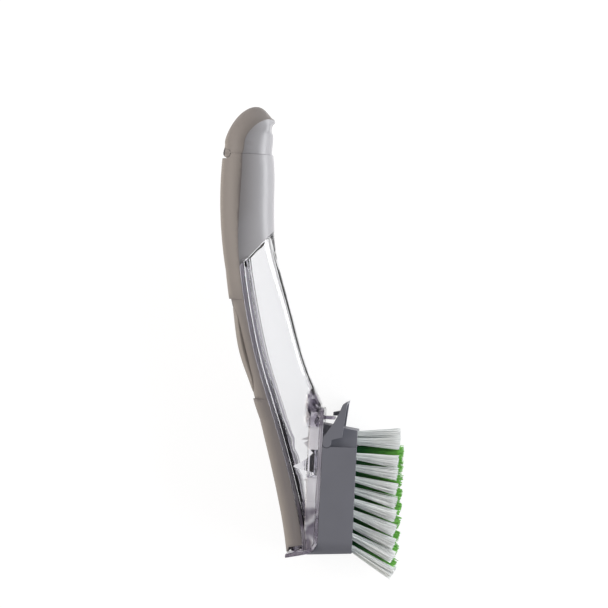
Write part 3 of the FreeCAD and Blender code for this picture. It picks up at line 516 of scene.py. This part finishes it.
# %% Front shell
CLEAR_EDGE = 0.45
WINDOW_ROOM = 0.8 * MM
FOOT_MARGIN = 0.1 * MM
HEEL_REACH = 13 * MM
heel_line = ring_high.y + HEEL_REACH
window_low = ring_low.y - WINDOW_ROOM
window_high = ring_high.y + WINDOW_ROOM
front = dressed(
    "reservoir_front", "wand", "clear_front", edge=CLEAR_EDGE,
    cuts=(window_low, window_high, heel_line))
SEAM, WINDOW, BAND, HEEL = 1, 2, 3, 4
for layer in (clear_plastic, weld_plastic, foot_plastic, milky_plastic, heel_plastic):
    front.data.materials.append(layer)
for face in front.data.polygons:
    if face.center.x > foot_back - FOOT_MARGIN:
        by_ring = window_low < face.center.y < window_high
        face.material_index = WINDOW if by_ring else HEEL if face.center.y > heel_line else BAND
    elif on_weld(front, face):
        face.material_index = SEAM

# %% [markdown]
# The back shell lies under the grip and is seen through the front one. The base plate closes the foot, and
# in its middle stands the clear tower that carries the valve. Both keep their solid shapes, with rounded
# rims.

# %% Back shell and base plate
TOWER_REACH = 12 * MM
back = dressed("reservoir_back", "wand", "clear_back", edge=CLEAR_EDGE)
back.data.materials.append(thick_plastic)
back.data.materials.append(flange_plastic)
for face in back.data.polygons:
    if on_weld(back, face):
        face.material_index = SEAM
plate = dressed("base_plate", "wand", "clear_base", edge=CLEAR_EDGE)
plate.data.materials.append(plate_plastic)
plate.data.materials.append(tower_plastic)
TOWER = 1
for face in plate.data.polygons:
    if abs(face.center.z - half_height) < TOWER_REACH:
        face.material_index = TOWER

# %% [markdown]
# The rubber of the handle is painted darker in its creases and paler on its back and toward its front:
# painted shade and painted light. An edge mask in the material could paint that, but the pale parts
# follow the form of the handle. So each point of the mesh gets a value of painted light, worked out from
# its place and the way that it faces, and the finish reads it.

# %% Painted light and shade on the rubber
SIDE_TURN = -0.2
LIT_FROM = 0.66
SLEEVE_LIGHT = 0.55
SLEEVE_SHARE = 0.68
SLEEVE_LIGHT_FADE = 30 * MM
SIDE_GAIN = 1.5
SIDE_DEPTH = 16.5 * MM
CREASE_DEPTH = 10.5 * MM
grip_low, grip_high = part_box("back_grip")
sleeve_foot = grip_low.y + SLEEVE_SHARE * (grip_high.y - grip_low.y)
crease = grip_low.x + CREASE_DEPTH


def paint_light_and_shade(piece, on_side, least):
    """Write the attribute of painted light. On the back it is high where the surface faces back, and nowhere
    under least at that height. On the satin sides it grows from painted shade at the crease to the front."""
    values = []
    for vertex in piece.data.vertices:
        if on_side(vertex):
            lightness = SIDE_GAIN * (vertex.co.x - crease) / SIDE_DEPTH
        else:
            lightness = max(least(vertex.co.y), (-vertex.normal.x - LIT_FROM) / (1 - LIT_FROM))
        values.append(min(1, max(0, lightness)))
    painted_light = piece.data.attributes.new("painted_light", "FLOAT", "POINT")
    painted_light.data.foreach_set("value", values)
    print(piece.name, "mean wear:", sum(values) / len(values))


def sleeve_light(height):
    """The sleeve is painted lighter than the lower grip."""
    return SLEEVE_LIGHT * min(1, max(0, (height - sleeve_foot) / SLEEVE_LIGHT_FADE + 1))


# %% [markdown]
# The grip is soft rubber moulded over the clear back and round the upper handle. It is grown by a hair, so
# that it touches the plastic under it: light inside the plastic then meets the gray rubber and not a film
# of air. Its toe end is drawn out to where the clear shell ends, with the points selected and moved.

# %% Soft grip and sleeve
CONTACT = 0.15 * MM
TOE_SLIDE = 0.4 * MM
TOE_BAND = 0.3 * MM
grip = merged_copy("back_grip", "soft_grip")
swell = grip.modifiers.new("contact", "DISPLACE")
swell.strength = CONTACT
swell.mid_level = 0
bpy.ops.object.modifier_apply(modifier="contact")
toe_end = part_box("reservoir_back")[0].y
bpy.ops.object.mode_set(mode="EDIT")
bpy.ops.mesh.select_mode(type="VERT")
bpy.ops.mesh.select_all(action="DESELECT")
bpy.ops.object.mode_set(mode="OBJECT")
for vertex in grip.data.vertices:
    vertex.select = vertex.co.y < grip_low.y + TOE_BAND
print("toe end of the grip:", sum(vertex.select for vertex in grip.data.vertices), "points")
bpy.ops.object.mode_set(mode="EDIT")
bpy.ops.transform.translate(value=(TOE_SLIDE, toe_end - grip_low.y, 0))
bpy.ops.object.mode_set(mode="OBJECT")
bpy.ops.object.shade_smooth_by_angle(angle=SMOOTH_ANGLE)
# Painted light on the grip's back and sleeve, and painted shade at the crease of its satin sides.
paint_light_and_shade(grip, lambda point: point.co.y > sleeve_foot and point.normal.x > SIDE_TURN, sleeve_light)
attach(grip, "wand")
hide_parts("back_grip")

# %% [markdown]
# The grip is two finishes in one piece: a matte back, and satin sides on the upper sleeve. Faces that turn
# away from the back take the satin finish.

# %% Two finishes on the grip
SATIN = 1
grip.data.materials.append(grip_rubber)
grip.data.materials.append(satin_gray)
for face in grip.data.polygons:
    if face.center.y > sleeve_foot and face.normal.x > SIDE_TURN:
        face.material_index = SATIN
print("grip faces:", len(grip.data.polygons))

# %% [markdown]
# The fill cap is a hood that carries the back's crease over the top of the handle. It swings open on a pin
# at the back. Where its back comes down to the sleeve's rim, it is flattened by a hair so that it swings
# past. A cut could make that room too, but moving the few points there keeps the hood's skin whole.

# %% Fill cap
STOP_ROOM = 0.3 * MM
STOP_BACK = -2.2
STOP_HEIGHTS = (-0.7, 1.3)
STOP_HALF_WIDTH = 2.75
cap = dressed("fill_cap", "cap", "hood_cap")
hinge = Vector(joints["cap_flip"]["pos_m"])
for vertex in cap.data.vertices:
    off = (vertex.co - hinge) / MM
    by_height = STOP_HEIGHTS[0] < off.y < STOP_HEIGHTS[1]
    if off.x < STOP_BACK and by_height and abs(off.z) < STOP_HALF_WIDTH:
        vertex.co.x += STOP_ROOM

# %% [markdown]
# The hood has the grip's two finishes. Its back turns over the top, so the way that a face looks is compared
# with the way out from a point behind the lip. Faces that look aside from it take the satin finish.

# %% Two finishes on the cap
HOOD_LIGHT = 0.5
LIP_ROOM = 1 * MM
LIP_HEIGHT = 13 * MM
cap_low, cap_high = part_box("fill_cap")
turn_point = Vector((cap_high.x + LIP_ROOM, cap_low.y + LIP_HEIGHT, 0))


def on_hood_side(item, place):
    """Whether a face or point of the hood looks aside and not out over the back."""
    out = Vector((place.x - turn_point.x, max(0, place.y - turn_point.y), 0))
    return item.normal.dot(out.normalized()) < -SIDE_TURN


# The hood's back is painted light all over, and its satin sides get the same painted shade at the crease.
paint_light_and_shade(cap, lambda point: on_hood_side(point, point.co), lambda height: HOOD_LIGHT)
cap.data.materials.append(grip_rubber)
cap.data.materials.append(satin_gray)
for face in cap.data.polygons:
    if on_hood_side(face, face.center):
        face.material_index = SATIN

# %% [markdown]
# The soap button is a soft pad that bulges out of the grip. Its solid has crisp edges and uneven faces, which
# a subdivision surface would keep. A voxel remesh gives it an even skin first, and smoothing then melts the
# edges into a pillow.

# %% Button pad
PAD_VOXEL = 0.5 * MM
PAD_SOFTNESS = 0.5
PAD_ROUNDS = 24
button = merged_copy("soap_button", "button_pad")
skin = button.modifiers.new("skin", "REMESH")
skin.mode = "VOXEL"
skin.voxel_size = PAD_VOXEL
bpy.ops.object.modifier_apply(modifier="skin")
soften = button.modifiers.new("soften", "SMOOTH")
soften.factor = PAD_SOFTNESS
soften.iterations = PAD_ROUNDS
bpy.ops.object.modifier_apply(modifier="soften")
print("pad faces:", len(button.data.polygons))

# %% [markdown]
# A slight swell gives back what the smoothing took. The underside has to keep its room for the press, so the
# swell follows a vertex group that is full on the outside and fades out below.

# %% Swell and finish of the pad
PAD_SWELL = 0.4 * MM
SIDE_SWELL = 0.55
PAD_LIGHT = 0.85
outside = button.vertex_groups.new(name="outside")
for vertex in button.data.vertices:
    outside.add([vertex.index], min(1, max(0, SIDE_SWELL - vertex.normal.x)), "REPLACE")
swell = button.modifiers.new("swell", "DISPLACE")
swell.strength = PAD_SWELL
swell.mid_level = 0
swell.vertex_group = "outside"
bpy.ops.object.modifier_apply(modifier="swell")
button.vertex_groups.clear()
bpy.ops.object.shade_smooth()
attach(button, "button")
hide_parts("soap_button")
# The whole pad is painted light, close to the palest tone.
paint_light_and_shade(button, lambda point: False, lambda height: PAD_LIGHT)
button.data.materials.append(grip_rubber)

# %% [markdown]
# Under the pad a thin rubber web seals the chamber's window.

# %% Web under the pad
web = dressed("button_web", "wand", "seal_web")
web.data.materials.append(grip_rubber)
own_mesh(web)

# %% [markdown]
# The neck, the plug, the hinge pin, the valve and its ring, and the tufts' metal anchors are mostly hidden.
# Their solids are good as they are and only take a finish.

# %% Hidden pieces
HIDDEN = {
    "fill_neck": satin_gray, "cap_plug": pale_rubber, "cap_hinge_pin": pin_steel,
    "slit_valve": clear_silicone, "valve_retainer": dark_rubber, "tuft_anchors": pin_steel,
}
for node, finish in HIDDEN.items():
    nodes[node].data.materials.clear()
    nodes[node].data.materials.append(finish)
print("hidden pieces:", list(HIDDEN))

# %% [markdown]
# The brush block and the thumb latch are one gray plastic. Both keep the crisp form of their solids, and the
# finish rounds the look of their edges.

# %% Brush head and latch
for node, body, name in (("head_block", "wand", "brush_block"), ("latch_lever", "latch", "thumb_latch")):
    piece = dressed(node, body, name)
    piece.data.materials.append(block_gray)

# %% [markdown]
# A tuft is a bundle of nylon filaments pressed into a blind hole. Hair particles could stand for them, but
# they leave no mesh. One filament is modelled from a thin five-sided rod, cut into four lengths so
# that it can bow.

# %% One filament
FILAMENT_RADIUS = 0.19 * MM
FILAMENT_SIDES = 5
FILAMENT_CUTS = 3
bpy.ops.object.select_all(action="DESELECT")
bpy.ops.mesh.primitive_cylinder_add(
    vertices=FILAMENT_SIDES, radius=FILAMENT_RADIUS, depth=1, end_fill_type="NGON", location=(0, 0, 0.5))
filament = bpy.context.object
filament.name = "filament_pattern"
bpy.ops.object.transform_apply(location=True, rotation=False, scale=False)
bpy.ops.object.mode_set(mode="EDIT")
bpy.ops.mesh.select_mode(type="EDGE")
bpy.ops.mesh.select_all(action="DESELECT")
bpy.ops.object.mode_set(mode="OBJECT")
for edge in filament.data.edges:
    ends = [filament.data.vertices[v].co.z for v in edge.vertices]
    edge.select = abs(ends[0] - ends[1]) > 0.5
bpy.ops.object.mode_set(mode="EDIT")
bpy.ops.mesh.subdivide(number_cuts=FILAMENT_CUTS)
bpy.ops.object.mode_set(mode="OBJECT")
print("filament faces:", len(filament.data.polygons))

# %% [markdown]
# The bundles have to stand where the solid tufts stand. A row of solids is parted into its tufts, and each
# one's axis is the direction in which its points spread most.

# %% Root, tip and radii of each solid tuft
END_BAND = 0.1 * MM


def tuft_axes(node):
    """Root, tip and the two radii of every tuft in a row, measured on the solid."""
    merged_copy(node, "row_pattern")
    bpy.ops.object.mode_set(mode="EDIT")
    bpy.ops.mesh.select_all(action="SELECT")
    bpy.ops.mesh.separate(type="LOOSE")
    bpy.ops.object.mode_set(mode="OBJECT")
    found = []
    for part in list(bpy.context.selected_objects):
        points = np.array([v.co for v in part.data.vertices])
        middle = points.mean(axis=0)
        axis = np.linalg.svd(points - middle, full_matrices=False)[2][0]
        axis *= np.sign(axis[0])
        reach = (points - middle) @ axis
        spread = np.linalg.norm(points - middle - np.outer(reach, axis), axis=1)
        low = reach < reach.min() + END_BAND
        high = reach > reach.max() - END_BAND
        root = Vector(points[low].mean(axis=0))
        tip = Vector(points[high].mean(axis=0))
        found.append((root, tip, spread[low].max(), spread[high].max()))
        bpy.data.objects.remove(part)
    return sorted(found, key=lambda tuft: tuft[0].y)


ROOT_RADIUS, TIP_RADIUS = tuft_axes("side_tufts_high")[0][2:]
print("tuft radii:", ROOT_RADIUS, TIP_RADIUS)

# %% [markdown]
# A bundle copies the filament many times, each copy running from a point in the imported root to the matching
# point in the spread tip, with a slight bow of its own. The points follow a sunflower's spiral, which fills a
# circle evenly. The green filaments end at uneven lengths, as split tips do.

# %% Bundles of filaments
BUNDLE_COUNT = 3
STRANDS = 80
WHITE_FLARE = 1.24
GREEN_FLARE = 1.3
WHITE_RAGGED = 0.03
GREEN_RAGGED = 0.16
TURN = math.pi * (3 - math.sqrt(5))
TURN_STRAY = 0.2
TIP_STRAY = 0.25
BOW_STRAY = 0.16
SPREAD_CURVE = 1.15
dice = random.Random(7)


def bundle(name, flare, ragged):
    """A tuft of unit length along Z; the radii are real, flare widens the tip, ragged shortens strands."""
    copies = []
    for n in range(STRANDS):
        share = math.sqrt((n + 0.5) / STRANDS)
        angle = n * TURN + dice.uniform(-TURN_STRAY, TURN_STRAY)
        flat = Vector((math.cos(angle), math.sin(angle), 0)) * share
        root = flat * (ROOT_RADIUS - FILAMENT_RADIUS)
        tip = flat * (TIP_RADIUS - FILAMENT_RADIUS) * flare
        tip += Vector((dice.gauss(0, TIP_STRAY), dice.gauss(0, TIP_STRAY), 0)) * MM
        bow = Vector((dice.gauss(0, BOW_STRAY), dice.gauss(0, BOW_STRAY), 0)) * MM
        length = 1 - ragged * dice.random()
        strand = filament.data.copy()
        for vertex in strand.vertices:
            t = vertex.co.z
            spine = root.lerp(tip, t ** SPREAD_CURVE) + bow * math.sin(math.pi * t)
            vertex.co = Vector((vertex.co.x + spine.x, vertex.co.y + spine.y, t * length))
        value = strand.attributes.new("strand", "FLOAT", "POINT")
        tone = dice.random()
        value.data.foreach_set("value", [tone] * len(strand.vertices))
        copies.append(bpy.data.objects.new("strand_pattern", strand))
        bpy.context.scene.collection.objects.link(copies[-1])
    pick(*copies)
    bpy.ops.object.join()
    copies[-1].name = name
    return copies[-1]


white_bundles = [bundle("white_bundle_%d" % n, WHITE_FLARE, WHITE_RAGGED) for n in range(BUNDLE_COUNT)]
green_bundles = [bundle("green_bundle_%d" % n, GREEN_FLARE, GREEN_RAGGED) for n in range(BUNDLE_COUNT)]
print("bundle faces:", len(white_bundles[0].data.polygons))

# %% [markdown]
# The block holds a ring of white tufts round four rows of green ones. Three bundles of each colour are
# enough: each tuft is a copy of one of them, turned about its axis, set on the axis of the solid tuft that it
# replaces, and swayed a little.

# %% Rows of tufts
ROWS = {
    "side_tufts_low": white_nylon, "side_tufts_high": white_nylon, "toe_tufts": white_nylon,
    "heel_tufts": white_nylon, "inner_tufts_a": green_nylon, "inner_tufts_b": green_nylon,
    "inner_tufts_c": green_nylon, "inner_tufts_d": green_nylon,
}
SWAY = 0.35 * MM
STRAND_ANGLE = math.radians(60)
for node, finish in ROWS.items():
    tufts = []
    choices = white_bundles if finish == white_nylon else green_bundles
    for root, tip, *_ in tuft_axes(node):
        tuft = bpy.data.objects.new("tuft", dice.choice(choices).data.copy())
        bpy.context.scene.collection.objects.link(tuft)
        axis = tip - root + Vector((0, dice.gauss(0, SWAY), dice.gauss(0, SWAY)))
        stand = axis.to_track_quat("Z", "Y").to_matrix().to_4x4()
        spin = Matrix.Rotation(dice.uniform(0, 2 * math.pi), 4, "Z")
        size = Matrix.Diagonal((1, 1, axis.length, 1))
        tuft.data.transform(Matrix.Translation(root) @ stand @ spin @ size)
        tufts.append(tuft)
    pick(*tufts)
    bpy.ops.object.join()
    row = tufts[-1]
    row.name = node.replace("tufts", "filaments")
    row.data.materials.clear()
    row.data.materials.append(finish)
    bpy.ops.object.shade_smooth_by_angle(angle=STRAND_ANGLE)
    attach(row, "wand")
    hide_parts(node)
    print(row.name, len(row.data.polygons), "faces")
for pattern in white_bundles + green_bundles + [filament]:
    bpy.data.objects.remove(pattern)

# %% [markdown]
# The wand rests on a plain white floor. A bent backdrop could hide the horizon, but the camera looks almost
# straight down, so one large plane is enough. It is part of the stage and not of the wand.

# %% Floor
FLOOR_SIZE = 6
bpy.ops.object.select_all(action="DESELECT")
bpy.ops.mesh.primitive_plane_add(size=FLOOR_SIZE, location=(0, 0, 0))
floor = bpy.context.object
floor.name = "floor"
print("floor:", FLOOR_SIZE, "metres")

# %% [markdown]
# To the camera, and through clear or shiny plastic, most of the floor's white is its own, so the background
# stays white while a soft shadow remains. Rays that clear plastic has bent away from the straight view see
# less of it, as they would past the edge of a lit panel. That draws the dark lines along the rims of clear
# plastic.

# %% Floor finish
OWN_WHITE = 0.8
WHITE_LEVEL = 1.1
STEEP = 0.08
SHALLOW = 0.34
EDGE_GRAY = 0.4
FLOOR_TONE = (0.95, 0.95, 0.95, 1)
FLOOR_ROUGHNESS = 0.9
floor_white, tree, shader = blank_material("floor_white")
shader.inputs["Base Color"].default_value = FLOOR_TONE
shader.inputs["Roughness"].default_value = FLOOR_ROUGHNESS
glow = tree.nodes.new("ShaderNodeEmission")
mix = tree.nodes.new("ShaderNodeMixShader")
rays = tree.nodes.new("ShaderNodeLightPath").outputs
slant = tree.nodes.new("ShaderNodeLayerWeight").outputs["Facing"]
falloff = ranged(tree, slant, STEEP, SHALLOW, 1, EDGE_GRAY)
level = summed(tree, "MAXIMUM", rays["Is Camera Ray"], falloff)
bent = summed(tree, "MAXIMUM", rays["Is Glossy Ray"], rays["Is Transmission Ray"])
seen = summed(tree, "MAXIMUM", bent, rays["Is Camera Ray"])
link = tree.links.new
link(summed(tree, "MULTIPLY", level, WHITE_LEVEL), glow.inputs["Strength"])
link(summed(tree, "MULTIPLY", seen, OWN_WHITE), mix.inputs["Fac"])
link(shader.outputs["BSDF"], mix.inputs[1])
link(glow.outputs["Emission"], mix.inputs[2])
link(mix.outputs["Shader"], tree.nodes["Material Output"].inputs["Surface"])
floor.data.materials.append(floor_white)
print("floor nodes:", len(tree.nodes))

# %% [markdown]
# Two large softboxes stand left and right of the wand, a weaker one stands beyond the cap, and a gray room
# fills in from everywhere else. Faces that look straight up at the camera stay calm, and the curves to the
# sides catch the light.

# %% Softboxes and room
SOFTBOX_SIZE = (1.2, 0.5)
ROOM_GRAY = (0.22, 0.22, 0.23, 1)
middle = (Vector(cad_box[0]) + Vector(cad_box[1])) / 2
for name, stand, power, tint in (
    ("softbox_back", (-0.9, 0, 0.29), 10, (1.0, 0.93, 0.86)),
    ("softbox_front", (0.9, 0, 0.29), 12.5, (0.97, 0.98, 1.0)),
    ("softbox_top", (0, 0.9, 0.2), 4.5, (1.0, 0.97, 0.96)),
):
    bpy.ops.object.light_add(type="AREA")
    lamp = bpy.context.object
    lamp.name = name
    lamp.data.shape = "RECTANGLE"
    lamp.data.size, lamp.data.size_y = SOFTBOX_SIZE
    lamp.data.energy = power
    lamp.data.color = tint
    lamp.location = middle + Vector(stand)
    lamp.rotation_euler = (middle - lamp.location).to_track_quat("-Z", "Y").to_euler()
    print(name, "at", list(lamp.location))
room = bpy.context.scene.world or bpy.data.worlds.new("room")
bpy.context.scene.world = room
room.use_nodes = True
room.node_tree.nodes["Background"].inputs["Color"].default_value = ROOM_GRAY
room.node_tree.nodes["Background"].inputs["Strength"].default_value = 1

# %% [markdown]
# The camera looks down on the wand's side, a little from the bristles' side, and is rolled so that the
# handle leans as it does in the photograph. Its place comes from the point under the picture's centre.

# %% Camera
PICTURE = 608
PIXEL = 0.54 * MM
CENTRE = Vector((-23.1, 99.5, 36.0)) * MM
DISTANCE = 2.5
SENSOR = 36
ROLL = math.radians(2.8)
YAW = math.radians(2.2)
right = Vector((math.cos(ROLL), math.sin(ROLL), 0))
up = Vector((-math.sin(ROLL), math.cos(ROLL), 0))
overhead = Vector((0, 0, 1))
toward = overhead * math.cos(YAW) + right * math.sin(YAW)
aside = right * math.cos(YAW) - overhead * math.sin(YAW)
bpy.ops.object.camera_add()
camera = bpy.context.object
camera.data.sensor_width = SENSOR
camera.data.lens = SENSOR * DISTANCE / (PICTURE * PIXEL)
place = Matrix((aside, up, toward)).transposed().to_4x4()
place.translation = CENTRE + toward * DISTANCE
camera.matrix_world = place
bpy.context.scene.camera = camera
bpy.context.scene.view_settings.view_transform = "Standard"
print("lens:", camera.data.lens)
